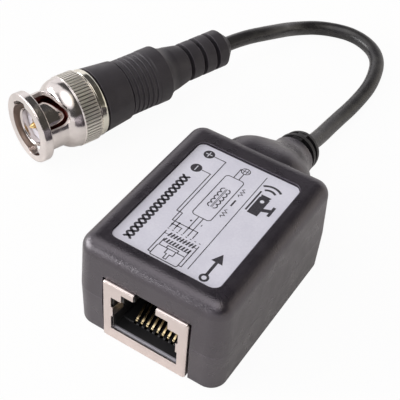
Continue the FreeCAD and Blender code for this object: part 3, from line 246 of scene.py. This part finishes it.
def moulded(name, dark, light, rough_low, rough_high, grain=0.22, depth=0.012, soften=0.12, edge_highlight=1.25):
    """Moulded plastic or rubber: fine eroded grain, faint flow marks, edges rubbed smoother and a painted highlight
    along the edges.
    """
    made = Material(name, dark, rough_low)
    grain_noise = made.noise(grain, 3.0)
    flow = made.noise(6.0, 3.0, distortion=0.6)
    rubbed_and_lit_edges = made.edges(0.35)
    tone = made.plus(made.times(flow, 0.6), made.times(grain_noise, 0.4))
    made.tint(made.span(tone, 0.3, 0.7), dark, light)
    # Painted highlight: the edges are painted lighter than the light tone
    made.over(made.times(rubbed_and_lit_edges, 0.5), tuple(c * edge_highlight + 0.006 for c in light))
    patch = made.span(made.noise(3.5), 0.35, 0.65, rough_low, rough_high)
    made.set(roughness=made.math("SUBTRACT", patch, made.times(rubbed_and_lit_edges, 0.06)))
    made.bump(made.plus(made.times(grain_noise, 0.8), made.times(flow, 0.2)), depth, soften)
    return made


def clouded(name, color, tint, rough_low, rough_high):
    """Metal with soft clouding, and the roughness of its handling haze."""
    made = Material(name, color, rough_low, 1.0)
    made.tint(made.span(made.noise(2.2, 3.0), 0.35, 0.7), color, tint)
    return made, made.span(made.noise(1.1, 4.0), 0.4, 0.75, rough_low, rough_high)


def plated(*looks):
    """Plated sheet or wire with faint drawing lines."""
    made, haze = clouded(*looks)
    made.set(roughness=haze)
    made.bump(made.noise(0.06, 1.0, made.stretched((0.03, 1.0, 1.0))), 0.0015, 0.05)
    return made


def turned(*looks, nut=False):
    """Nickel with fine lines turned about the plug's axis. On the nut: dull cast walls, a painted highlight on the
    knurl's teeth and the hub, painted shade in the bore and between the teeth, and a painted red reflection behind the
    windows.
    """
    made, haze = clouded(*looks)
    if nut:
        station, radius = made.on_plug()
        teeth = made.within(station, *NUT_KNURL)
        inside = made.span(radius, *NUT_BORE, 1.0, 0.0)
        bore = made.times(inside, made.span(station, *NUT_BORE_REAR, 1.0, 0.6))
        for factor, share, color in (
                # Painted highlight: the knurl's teeth and the hub are painted lighter, yellower on the hub
                (teeth, 0.85, (0.99, 0.96, 0.88)),
                (made.within(station, *NUT_HUB, 0.4), 0.45, (0.95, 0.95, 0.74)),
                # Painted shade: the bore is painted dark brown
                (bore, 0.85, (0.20, 0.135, 0.105)),
                # Painted reflection: the bore behind the windows is tinted red, as if the red gasket shone in it
                (made.times(made.within(station, *NUT_WINDOWS, 0.3), inside), 0.9, (0.30, 0.07, 0.05)),
                # Painted shade: the roots between the knurl's teeth are painted nearly black
                (made.times(teeth, made.span(radius, *NUT_TOOTH_ROOT, 1.0, 0.0)), 0.95, (0.06, 0.05, 0.045))):
            made.over(made.times(factor, share), color)
        wall = made.times(made.within(station, *NUT_WALL), made.within(radius, *NUT_WALL_RADIUS, 0.03))
        dull = made.most(wall, made.times(made.most(bore, teeth), 0.55))
        haze = made.plus(haze, made.times(dull, 0.38))
    made.set(roughness=haze)
    lines = made.noise(0.05, 1.0, made.stretched((0.02, 1.0, 0.02), -PLUG_TURN))
    made.bump(made.plus(made.noise(1.5), made.times(lines, 0.07)), 0.022, 0.11)
    return made


housing = moulded("moulded_black", (0.007, 0.0050, 0.0092), (0.0145, 0.0112, 0.0175), 0.27, 0.35, grain=0.26,
                  depth=0.065, edge_highlight=4.0)
housing.set(specular_ior_level=0.9, ior=1.6, specular_tint=(1.0, 0.935, 1.0, 1.0))
soft_black = moulded("soft_black", (0.007, 0.0065, 0.0075), (0.013, 0.012, 0.0135), 0.38, 0.48, grain=0.3,
                     depth=0.006)
soft_black.set(specular_ior_level=0.3)
boot_rubber = moulded("boot_rubber", (0.036, 0.0325, 0.0385), (0.055, 0.050, 0.057), 0.42, 0.54, grain=0.18,
                      depth=0.008, soften=0.1, edge_highlight=2.6)
boot_rubber.set(specular_ior_level=0.4)
component_plastic = moulded("component_plastic", (0.030, 0.030, 0.030), (0.045, 0.045, 0.045), 0.35, 0.45)

jack_plastic = moulded("jack_plastic", (0.018, 0.018, 0.019), (0.028, 0.028, 0.030), 0.28, 0.38, depth=0.004,
                       soften=0.08)
# Painted highlight: the port's lip is painted light along its chamfer
jack_plastic.over(jack_plastic.times(jack_plastic.span(jack_plastic.along("Y"), *PORT_LIP_Y, 1.0, 0.0),
                                     jack_plastic.within(jack_plastic.along("Z"), *PORT_LIP_Z)),
                  (0.31, 0.305, 0.335))

label_film = Material("label_film", (0.78, 0.78, 0.87), 0.36)
paper = label_film.noise(0.35, 4.0)
wave = label_film.noise(4.0)
label_film.tint(label_film.span(label_film.plus(label_film.times(paper, 0.5), label_film.times(wave, 0.5)), 0.35, 0.65),
                (0.69, 0.69, 0.78), (0.745, 0.745, 0.83))
label_film.set(roughness=label_film.span(wave, 0.3, 0.7, 0.32, 0.44))
# Painted shadow: a thin dark line round the film, where the recess's step shades it
painted_step_shadow = [label_film.span(label_film.math("ABSOLUTE", place), half - LABEL_RIM[0], half - LABEL_RIM[1], 0.0, 0.75)
        for place, half in zip((label_film.along("X"), label_film.plus(label_film.along("Y"), -LABEL_MIDDLE_Y)),
                               LABEL_HALF_SIZE)]
label_film.over(label_film.most(*painted_step_shadow), (0.05, 0.048, 0.055))
label_film.bump(paper, 0.004, 0.04)

ink = Material("print_ink", (0.030, 0.028, 0.034), 0.5)
ink_patch = ink.noise(0.25, 3.0)
ink.tint(ink.span(ink_patch, 0.35, 0.7), (0.022, 0.020, 0.026), (0.060, 0.056, 0.070))
ink.set(roughness=ink.span(ink_patch, 0.3, 0.7, 0.42, 0.6))
ink.bump(ink_patch, 0.001)

ink_white = Material("print_white", (0.72, 0.73, 0.80), 0.45)
ink_white.tint(ink_white.noise(0.2), (0.66, 0.67, 0.74), (0.76, 0.77, 0.84))
ink_white.bump(ink_white.noise(0.2), 0.001)

nut_nickel = turned("nut_nickel", (0.73, 0.68, 0.66), (0.80, 0.75, 0.725), 0.12, 0.20, nut=True)
nickel = turned("nickel", (0.68, 0.635, 0.61), (0.75, 0.70, 0.675), 0.08, 0.16)
shield_steel = plated("shield_steel", (0.76, 0.67, 0.64), (0.80, 0.71, 0.68), 0.28, 0.36)
spring_steel = plated("spring_steel", (0.56, 0.55, 0.55), (0.66, 0.64, 0.62), 0.22, 0.34)
gold = plated("gold", (0.86, 0.62, 0.27), (0.95, 0.72, 0.36), 0.16, 0.26)
copper_wire = plated("copper_wire", (0.62, 0.24, 0.10), (0.74, 0.34, 0.15), 0.25, 0.35)
component_can = plated("component_can", (0.50, 0.51, 0.54), (0.60, 0.61, 0.64), 0.26, 0.36)
# Painted shade: the contacts keep their bright gold at their front bends and are painted dark farther into the port
contact_gold = plated("contact_gold", (0.86, 0.70, 0.40), (0.93, 0.79, 0.50), 0.16, 0.26)
contact_gold.over(contact_gold.span(contact_gold.along("Y"), *CONTACT_SHADE_Y, 0.0, 0.95), (0.11, 0.078, 0.035))

ferrite = Material("ferrite", (0.14, 0.14, 0.15), 0.62)
sinter = ferrite.noise(0.12, 4.0)
ferrite.tint(sinter, (0.10, 0.10, 0.11), (0.20, 0.20, 0.21))
ferrite.bump(sinter, 0.01, 0.1)

board = Material("board", (0.05, 0.20, 0.08), 0.34)
weave = board.times(board.noise(0.4, 1.0, board.stretched((1.0, 0.1, 1.0))),
                    board.noise(0.4, 1.0, board.stretched((0.1, 1.0, 1.0))))
board.tint(board.span(weave, 0.15, 0.35), (0.03, 0.15, 0.06), (0.06, 0.24, 0.10))
board.bump(weave, 0.004, 0.08)

insulator = Material("insulator", (0.86, 0.85, 0.86), 0.5)
insulator.set(subsurface_weight=0.15, subsurface_radius=(0.0012, 0.0010, 0.0009), subsurface_scale=1.0,
              specular_ior_level=0.25)
insulator.tint(insulator.noise(0.8, 3.0), (0.54, 0.52, 0.56), (0.62, 0.60, 0.64))
insulator.bump(insulator.noise(0.08, 1.0, insulator.stretched((0.1, 1.0, 0.1), -PLUG_TURN)), 0.003, 0.08)

red_rubber = Material("red_rubber", (0.10, 0.016, 0.012), 0.42)
red_rubber.tint(red_rubber.noise(0.7, 3.0), (0.22, 0.026, 0.020), (0.32, 0.040, 0.030))
red_rubber.bump(red_rubber.noise(0.15), 0.006, 0.06)

lead_sheath = Material("lead_sheath", (0.70, 0.69, 0.66), 0.35)
lead_sheath.tint(lead_sheath.noise(0.9), (0.60, 0.59, 0.56), (0.74, 0.73, 0.70))
lead_sheath.bump(lead_sheath.noise(0.2), 0.003)

cable_jacket = Material("cable_jacket", (0.03, 0.029, 0.03), 0.38)
cable_jacket.set(specular_ior_level=0.5)
flow = cable_jacket.noise(2.6, 3.0, distortion=0.8)
cable_jacket.tint(cable_jacket.span(flow, 0.3, 0.7), (0.018, 0.017, 0.019), (0.035, 0.034, 0.033))
cable_jacket.set(roughness=cable_jacket.span(cable_jacket.noise(1.4), 0.3, 0.7, 0.26, 0.36))
cable_jacket.bump(cable_jacket.noise(0.25, 3.0), 0.003)

FINISH = {
    "top_cover": housing, "bottom_cover": housing, "label": label_film, "jack_shield": shield_steel,
    "jack_housing": jack_plastic, "circuit_board": board, "transformer_core": ferrite, "winding_line": copper_wire,
    "winding_coax": copper_wire, "surge_suppressor": component_plastic, "capacitor": component_can,
    "centre_lead": lead_sheath, "braid_lead": lead_sheath, "strain_relief": soft_black, "coupling_nut": nut_nickel,
    "plug_body": nickel, "outer_contact": nickel, "dielectric": insulator, "centre_pin": gold, "gasket": red_rubber,
    "wave_washer": spring_steel, "retaining_ring": spring_steel, "crimp_ferrule": nickel, "plug_boot": boot_rubber,
    "cable": cable_jacket, **{"jack_contact_%d" % (index + 1): contact_gold for index in range(8)},
}
for name, node in nodes.items():
    node.data.materials.clear()
    node.data.materials.append(FINISH[name].made)


def placed(name, data):
    """A new object in the scene."""
    made = bpy.data.objects.new(name, data)
    bpy.context.scene.collection.objects.link(made)
    return made


# The lead

def lead():
    curve = bpy.data.curves.new("lead", "CURVE")
    curve.dimensions = "3D"
    curve.resolution_u = 24
    curve.bevel_depth = CABLE_RADIUS * MM
    curve.bevel_resolution = 10
    curve.use_fill_caps = True
    spline = curve.splines.new("NURBS")
    spline.points.add(len(CABLE_ROUTE) - 1)
    for point, place in zip(spline.points, CABLE_ROUTE):
        point.co = (*(c * MM for c in place), 1.0)
    spline.order_u = 3
    spline.use_endpoint_u = True
    made = placed("lead", curve)
    curve.materials.append(cable_jacket.made)
    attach(made, "balun")
    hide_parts("cable")
    return made


cord = lead()


# The label's print, whose sizes are all in millimetres

INK_THICKNESS = 0.006
LINE = 0.16
THIN = 0.12
BOLD = 0.42


def around(x, y, rx, ry, angles):
    """Points of an ellipse at angles in degrees."""
    return [(x + rx * math.cos(math.radians(angle)), y + ry * math.sin(math.radians(angle))) for angle in angles]


def full_turn(steps):
    return [360.0 * i / steps for i in range(steps)]


class Print:
    """Flat shapes on the label's face."""

    def __init__(self, name, material, lift):
        self.name = name
        self.material = material
        self.mesh = bmesh.new()
        self.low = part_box("label")[1].z + (lift - INK_THICKNESS) * MM
        self.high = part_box("label")[1].z + lift * MM

    def area(self, corners):
        tops = [self.mesh.verts.new((x * MM, y * MM, self.high)) for x, y in corners]
        lows = [self.mesh.verts.new((x * MM, y * MM, self.low)) for x, y in corners]
        self.mesh.faces.new(tops)
        for i in range(len(corners)):
            j = (i + 1) % len(corners)
            self.mesh.faces.new((tops[j], tops[i], lows[i], lows[j]))

    def box(self, x0, y0, x1, y1):
        self.area([(x0, y0), (x1, y0), (x1, y1), (x0, y1)])

    def disc(self, x, y, radius, steps):
        self.area(around(x, y, radius, radius, full_turn(steps)))

    def stroke(self, points, width=LINE, closed=False):
        """A line of constant width through the points, mitred at its corners."""
        path = [Vector(p) for p in points]
        count = len(path)
        left, right = [], []
        for i, p in enumerate(path):
            before = path[i - 1] if (i or closed) else None
            after = path[(i + 1) % count] if (i < count - 1 or closed) else None
            inward = (p - before).normalized() if before is not None else (after - p).normalized()
            outward = (after - p).normalized() if after is not None else inward
            bisector = inward + outward
            bisector = bisector.normalized() if bisector.length > 1e-6 else inward
            side = Vector((-bisector.y, bisector.x))
            reach = width / 2 / max(0.4, side.dot(Vector((-inward.y, inward.x))))
            left.append(p + side * reach)
            right.append(p - side * reach)
        for i in range(count if closed else count - 1):
            j = (i + 1) % count
            self.area([tuple(right[i]), tuple(right[j]), tuple(left[j]), tuple(left[i])])

    def strokes(self, width, *lines):
        for points in lines:
            self.stroke(points, width)

    def arc(self, x, y, radius, first, last, width, steps):
        self.stroke(around(x, y, radius, radius, [first + (last - first) * i / steps for i in range(steps + 1)]), width)

    def ring(self, x, y, rx, ry, width=LINE):
        self.stroke(around(x, y, rx, ry, full_turn(40)), width, closed=True)

    def frame(self, x0, y0, x1, y1, radius):
        """A rectangle of line with round corners."""
        points = []
        for cx, cy, start in ((x1 - radius, y1 - radius, 0), (x0 + radius, y1 - radius, 90),
                              (x0 + radius, y0 + radius, 180), (x1 - radius, y0 + radius, 270)):
            points += around(cx, cy, radius, radius, [start + 15 * i for i in range(7)])
        self.stroke(points, closed=True)

    def done(self):
        data = bpy.data.meshes.new(self.name)
        bmesh.ops.recalc_face_normals(self.mesh, faces=self.mesh.faces)
        self.mesh.to_mesh(data)
        self.mesh.free()
        data.materials.append(self.material.made)
        made = placed(self.name, data)
        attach(made, "balun")


def terminals(black, white):
    """Plus and minus."""
    x, plus_y, minus_y, arm, half_line = -7.19, 11.02, 6.91, 0.62, 0.08
    for y in (plus_y, minus_y):
        black.disc(x, y, 1.0, 48)
        white.box(x - half_line, y - arm, x + half_line, y + arm)
    white.box(x - arm, plus_y - half_line, x + arm, plus_y + half_line)


def wiring(black):
    """The terminals' two leads to the socket, with their joints."""
    black.strokes(
        LINE,
        [(-6.2, 11.02), (-3.86, 11.02), (-3.74, -5.57), (1.12, -5.57), (1.12, -7.2)],
        [(-6.16, 6.98), (-4.43, 6.98), (-4.33, -3.40), (-3.22, -3.40), (-3.22, -7.2)],
        [(-3.22, -6.30), (-1.46, -6.30), (-1.46, -7.2)],
        [(-2.35, -5.57), (-2.35, -7.2)])
    for x, y in ((-2.35, -5.57), (-3.22, -6.30), (-2.35, -6.30), (-0.57, -5.57)):
        black.disc(x, y, 0.2, 20)


def matching_unit(black):
    """The unit, its two leads down, its two stubs up and the round coaxial sign above."""
    black.frame(-2.13, -2.51, 1.38, 8.57, 0.65)
    for x in (-0.62, 0.21):
        black.stroke([(x, -2.51), (x, -7.2)])
    black.box(-1.4, -4.06, -1.0, -3.90)
    black.box(-1.28, -4.18, -1.12, -3.78)
    black.box(0.74, -4.18, 0.86, -3.78)
    black.strokes(LINE, [(-0.85, 8.57), (-0.85, 11.02), (-0.62, 11.02)], [(0.17, 8.57), (0.17, 10.30)])
    black.ring(0.12, 11.02, 0.80, 0.70)
    black.stroke([(-0.50, 11.02), (0.80, 11.02)], 0.14)
    black.strokes(THIN, [(-0.14, 10.45), (-0.14, 11.58)], [(0.40, 10.45), (0.40, 11.58)])


def socket_drawing(black):
    """The socket: pins, two comb rows, its sides and the stepped opening."""
    for pin in range(8):
        x = -3.20 + 0.84 * pin
        black.box(x - 0.14, -7.55, x + 0.14, -7.40)
    for tooth in range(9):
        x = -2.25 + 0.56 * tooth
        black.area([(x - 0.24, -8.95), (x + 0.04, -8.95), (x + 0.26, -8.0), (x - 0.02, -8.0)])
        black.area([(x - 0.24, -10.2), (x + 0.06, -10.2), (x + 0.24, -9.4), (x - 0.06, -9.4)])
    black.stroke([(-2.0, -8.45), (2.1, -8.45)], 0.10)
    black.stroke([(-2.1, -10.2), (2.2, -10.2)], THIN)
    black.stroke([(-3.20, -8.0), (-3.20, -13.2), (-2.62, -13.2)])
    black.stroke([(-3.20, -8.6), (-2.3, -8.6)], THIN)
    black.stroke([(2.90, -8.0), (2.90, -13.1), (2.34, -13.1)])
    black.stroke([(2.90, -8.6), (2.2, -8.6)], THIN)
    black.strokes(LINE, [(-2.50, -9.6), (-2.50, -11.1)], [(2.30, -9.6), (2.30, -11.1)])
    black.frame(-2.66, -13.6, 2.34, -11.15, 0.3)
    black.strokes(
        LINE,
        [(-1.15, -11.1), (-1.15, -10.62), (0.85, -10.62), (0.85, -11.1)],
        [(-0.82, -11.15), (-0.82, -12.15), (-0.42, -12.15), (-0.42, -13.2), (0.10, -13.2), (0.10, -12.15),
         (0.66, -12.15), (0.66, -11.15)])


def generic_signs(black):
    """A twisted pair, a coil and two resistors with a bar between them."""
    pair_x, pair_start, pair_length, pair_reach, pitch, steps = -7.45, -12.9, 17.3, 0.62, 2.16, 160
    for side in (1, -1):
        ways = [pair_length * i / steps for i in range(steps + 1)]
        black.stroke([(pair_x + side * pair_reach * math.cos(2 * math.pi * way / pitch), pair_start + way)
                      for way in ways], BOLD)
    for turn in range(5):
        black.arc(-0.62, 1.0 + turn, 0.5, 90, 270, 0.2, 14)
        black.arc(0.06, 1.0 + turn, 0.5, -90, 90, 0.2, 14)
    black.box(-0.43, 0.5, -0.33, 5.5)
    black.box(-0.20, 0.5, -0.10, 5.5)
    black.box(2.10, 2.55, 2.40, 4.15)
    x, swing, step = 2.25, 0.32, 0.35
    for start in (-0.6, 5.1):
        zigzag = [(x + (swing if i % 2 else -swing), start + step * (i + 1)) for i in range(5)]
        black.stroke([(x, start), *zigzag, (x, start + step * 6)], 0.13)


def plain_pictures(black, white):
    """A plain camera on its bracket with its field of view, and an arrow with a ring at its tail."""
    black.box(5.0, 3.0, 6.9, 7.3)
    black.area([(5.2, 7.3), (6.7, 7.3), (6.9, 7.9), (5.0, 7.9)])
    black.box(4.45, 3.3, 4.75, 8.5)
    black.area([(6.9, 4.3), (6.9, 5.1), (8.1, 5.6), (8.1, 4.8)])
    black.box(8.1, 4.0, 8.6, 6.4)
    for reach in (1.5, 2.5):
        black.arc(5.95, 7.9, reach, 48, 132, BOLD, 16)
    white.disc(5.95, 6.4, 0.36, 24)
    black.box(6.65, -12.2, 7.15, -9.2)
    black.area([(5.9, -9.2), (7.9, -9.2), (6.9, -7.2)])
    black.ring(6.9, -12.9, 0.62, 0.62, 0.4)


def label_print():
    black = Print("label_print", ink, 0.012)
    white = Print("label_signs", ink_white, 0.020)
    terminals(black, white)
    wiring(black)
    matching_unit(black)
    # The line that divides the drawing from the pictures
    black.stroke([(3.79, 11.9), (3.96, -12.87)], 0.14)
    socket_drawing(black)
    generic_signs(black)
    plain_pictures(black, white)
    black.done()
    white.done()


label_print()


# Floor, light and camera

def floor():
    """A pale floor. The camera sees it nearly white, metal sees it a little lighter, and it keeps the shadow."""
    reach, drop = 3.0, 0.00001
    mesh = bmesh.new()
    mesh.faces.new([mesh.verts.new((x * reach, y * reach, -drop)) for x, y in ((-1, -1), (1, -1), (1, 1), (-1, 1))])
    data = bpy.data.meshes.new("floor")
    mesh.to_mesh(data)
    mesh.free()
    material = bpy.data.materials.new("floor")
    material.use_nodes = True
    paint = Nodes(material.node_tree)
    plain = paint.add("BsdfDiffuse")
    plain.inputs["Color"].default_value = (0.90, 0.885, 0.865, 1.0)
    glow = paint.add("Emission")
    glow.inputs["Strength"].default_value = 1.0
    path = paint.add("LightPath")
    share = 0.0
    for ray, part in (("Is Camera Ray", 0.95), ("Is Glossy Ray", 0.12), ("Is Transmission Ray", 0.12)):
        share = paint.math("MULTIPLY_ADD", path.outputs[ray], part, share)
    paint.shade("OutputMaterial", share, plain, glow)
    data.materials.append(material)
    placed("floor", data)


def key_light():
    """A low, wide softbox at the front left."""
    place, target = Vector((-0.84, -0.53, 0.23)), Vector((-0.01, 0.02, 0.0))
    light = bpy.data.lights.new("key", "AREA")
    light.shape = "RECTANGLE"
    light.size = 1.0
    light.size_y = 0.38
    light.energy = 9.5
    made = placed("key", light)
    made.location = place
    made.rotation_mode = "QUATERNION"
    made.rotation_quaternion = (target - place).to_track_quat("-Z", "Y")


def studio():
    """A room that is light low down, with walls of light at the left, in front and behind, and a panel overhead."""
    world = bpy.data.worlds.new("studio")
    bpy.context.scene.world = world
    world.use_nodes = True
    room = Nodes(world.node_tree, "Generated")
    ray = room.axes()
    # Degrees from the front towards the right, and up
    azimuth = room.math("DEGREES", room.math("ARCTAN2", ray["X"], room.times(ray["Y"], -1.0)))
    height = room.math("DEGREES", room.math("ARCSINE", ray["Z"]))
    light = room.span(height, 9.0, 16.0, 1.0, 0.07)
    for value, low, high, soft, top, strength in (
            (azimuth, -114.0, -58.0, 8.0, 64.0, 1.0),
            (azimuth, -156.0, -108.0, 8.0, 32.0, 1.0),
            (azimuth, -6.0, 20.0, 6.0, 26.0, 0.75),
            (room.math("ABSOLUTE", azimuth), 112.0, 190.0, 8.0, 32.0, 0.7)):
        upright = room.span(height, top - 5.0, top + 5.0, strength, 0.0)
        light = room.most(light, room.times(room.within(value, low, high, soft), upright))
    # The panel overhead fades from its middle to its rim
    overhead = Vector((-0.03, -0.34, 0.94)).normalized()
    rim, middle, strength = math.radians(44.0), math.radians(6.0), 2.05
    facing = room.vector("DOT_PRODUCT", room.place, overhead)
    light = room.most(light, room.span(facing, math.cos(rim), math.cos(middle), 0.0, strength))
    # A little warmer on the right. The camera sees plain white
    lit, white = room.add("Background"), room.add("Background")
    warm = room.within(azimuth, 55.0, 165.0, 20.0)
    room.feed(lit.inputs["Color"], room.blend(warm, (1.0, 0.975, 0.99), (1.0, 0.935, 0.84)))
    room.feed(lit.inputs["Strength"], light)
    white.inputs["Color"].default_value = (1.0, 1.0, 1.0, 1.0)
    white.inputs["Strength"].default_value = 1.0
    room.shade("OutputWorld", room.add("LightPath").outputs["Is Camera Ray"], lit, white)


def camera():
    """The photo's camera, solved on the jack and the plug."""
    azimuth, elevation, roll = math.radians(29.19), math.radians(44.71), math.radians(4.84)
    target = Vector((-6.976, 8.711, 10.0)) * MM
    distance = 171.15 * MM
    focal_pixels, picture_pixels = 971.1, 400.0
    back = Vector((math.sin(azimuth) * math.cos(elevation), -math.cos(azimuth) * math.cos(elevation),
                   math.sin(elevation)))
    right = Vector((math.cos(azimuth), math.sin(azimuth), 0.0))
    up = back.cross(right)
    across = right * math.cos(roll) + up * math.sin(roll)
    above = up * math.cos(roll) - right * math.sin(roll)
    data = bpy.data.cameras.new("camera")
    data.sensor_width = 36.0
    data.lens = focal_pixels * data.sensor_width / picture_pixels
    data.clip_start = 0.01
    data.clip_end = 20.0
    made = placed("camera", data)
    turn = Matrix((across, above, back)).transposed()
    made.matrix_world = Matrix.Translation(target + back * distance) @ turn.to_4x4()
    bpy.context.scene.camera = made


floor()
key_light()
studio()
camera()
bpy.context.scene.view_settings.view_transform = "Standard"
